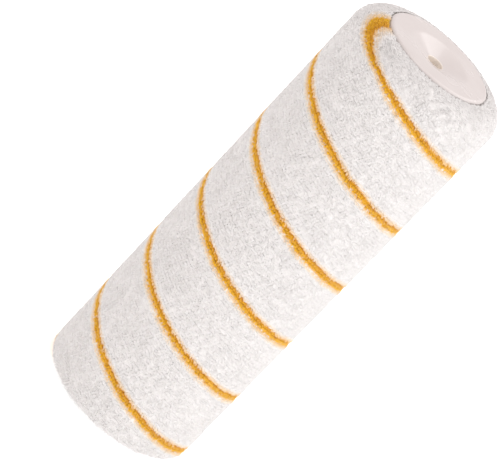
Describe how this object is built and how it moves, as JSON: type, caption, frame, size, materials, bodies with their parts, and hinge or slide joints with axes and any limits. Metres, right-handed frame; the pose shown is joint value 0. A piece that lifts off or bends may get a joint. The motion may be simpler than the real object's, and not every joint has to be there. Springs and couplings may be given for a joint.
{
  "type": "paint roller sleeve",
  "caption": "Woven-pile paint roller sleeve on a rigid core, with spiral coloured lines and a pressed-in dished axle cap at each end.",
  "frame": {"origin": "centre of the bottom cap's outer face, on the roller's axis", "axes": "+Z along the roller's axis, from the bottom cap to the top cap; -Y is the side where the first coloured line is 10.9 mm below the fabric's top end"},
  "size_m": [0.0646, 0.0646, 0.1836],
  "materials": {
    "core_plastic": "extruded polypropylene, matte",
    "bond_film": "melted film, translucent in life",
    "ground_fabric": "knitted ground of the pile",
    "white_pile": "short dense cut pile, off-white",
    "yellow_pile": "the same pile in dyed amber yarn",
    "cap_plastic": "moulded white polypropylene, slight gloss"
  },
  "bodies": {
    "root": {"core_tube": "core_plastic", "bond_film": "bond_film", "backing_strip": "ground_fabric", "white_pile": "white_pile", "stripe_a": "yellow_pile", "stripe_b": "yellow_pile", "end_cap_bottom": "cap_plastic", "end_cap_top": "cap_plastic"}
  },
  "joints": []
}
